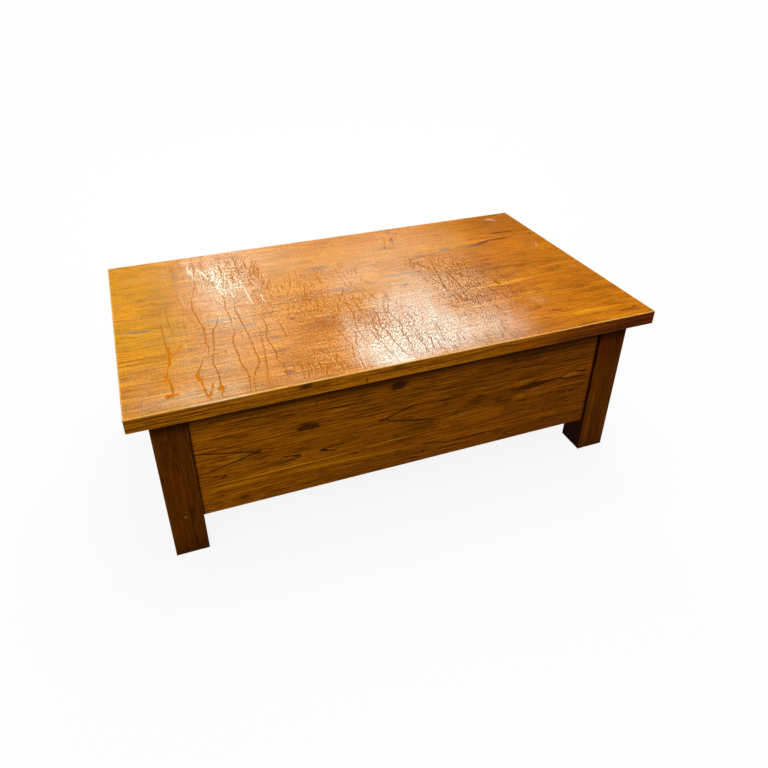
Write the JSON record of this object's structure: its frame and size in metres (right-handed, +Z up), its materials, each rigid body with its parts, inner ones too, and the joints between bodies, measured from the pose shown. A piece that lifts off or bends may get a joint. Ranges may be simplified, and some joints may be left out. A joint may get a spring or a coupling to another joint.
{
  "type": "wooden coffee table",
  "caption": "Low rectangular coffee table of solid wood, with an edge-glued top on square legs that deep panels join all round.",
  "frame": {"origin": "centre of the table's footprint, on the floor", "axes": "+X along the length, to the right seen from the front; +Y to the back; +Z up"},
  "size_m": [1.2, 0.7, 0.416],
  "materials": {
    "wood_top": "clear lacquer, satin, cracked by age and water",
    "wood_panel": "stained brown, satin lacquer",
    "wood_leg": "stained dark brown, satin lacquer",
    "wood_inner": "bare planed wood",
    "screw_steel": "zinc plated"
  },
  "bodies": {
    "root": {"top_board_1": "wood_top", "top_board_2": "wood_top", "top_board_3": "wood_top", "top_board_4": "wood_top", "top_board_5": "wood_top", "top_board_6": "wood_top", "top_board_7": "wood_top", "leg_front_left": "wood_leg", "leg_front_right": "wood_leg", "leg_back_left": "wood_leg", "leg_back_right": "wood_leg", "front_stave_1": "wood_panel", "front_stave_2": "wood_panel", "front_stave_3_left": "wood_panel", "front_stave_3_middle": "wood_panel", "front_stave_3_right": "wood_panel", "front_stave_4_left": "wood_panel", "front_stave_4_right": "wood_panel", "front_stave_5": "wood_panel", "front_stave_6": "wood_panel", "back_stave_1": "wood_panel", "back_stave_2": "wood_panel", "back_stave_3": "wood_panel", "back_stave_4": "wood_panel", "back_stave_5": "wood_panel", "back_stave_6": "wood_panel", "left_stave_1": "wood_panel", "left_stave_2": "wood_panel", "left_stave_3": "wood_panel", "left_stave_4": "wood_panel", "left_stave_5": "wood_panel", "left_stave_6": "wood_panel", "right_stave_1": "wood_panel", "right_stave_2": "wood_panel", "right_stave_3": "wood_panel", "right_stave_4": "wood_panel", "right_stave_5": "wood_panel", "right_stave_6": "wood_panel", "cross_rail_left": "wood_inner", "cross_rail_right": "wood_inner", "corner_block_front_left": "wood_inner", "corner_block_front_right": "wood_inner", "corner_block_back_left": "wood_inner", "corner_block_back_right": "wood_inner", "top_buttons": "wood_inner", "button_screws": "screw_steel", "rail_screws": "screw_steel", "corner_block_screws": "screw_steel"}
  },
  "joints": []
}
